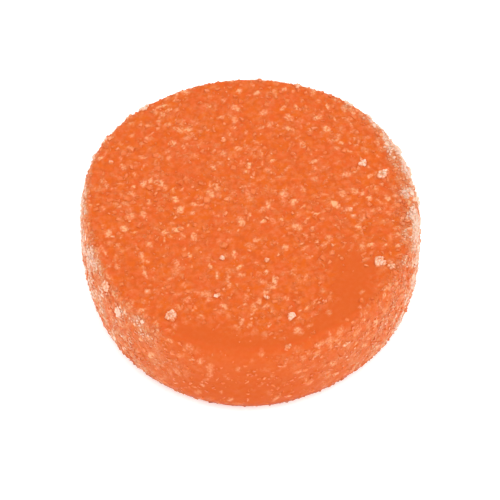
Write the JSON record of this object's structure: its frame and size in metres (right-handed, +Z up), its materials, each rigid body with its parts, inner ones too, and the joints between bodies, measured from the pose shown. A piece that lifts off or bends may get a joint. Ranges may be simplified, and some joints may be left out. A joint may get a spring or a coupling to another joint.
{
  "type": "sugar-coated gummy disc",
  "caption": "Round chewy fruit gummy with flat faces, softly rounded edges and an uneven coat of sugar crystals, resting on its flat underside.",
  "frame": {"origin": "centre of the flat underside, on the surface that the sweet rests on", "axes": "+Z up, square to the two flat faces; -Y towards the side that the picture looks from; +X to that viewer's right"},
  "size_m": [0.0238, 0.024, 0.008],
  "materials": {
    "jelly": "satin",
    "sugar": "satin"
  },
  "bodies": {
    "root": {"gummy": "jelly"}
  },
  "joints": []
}
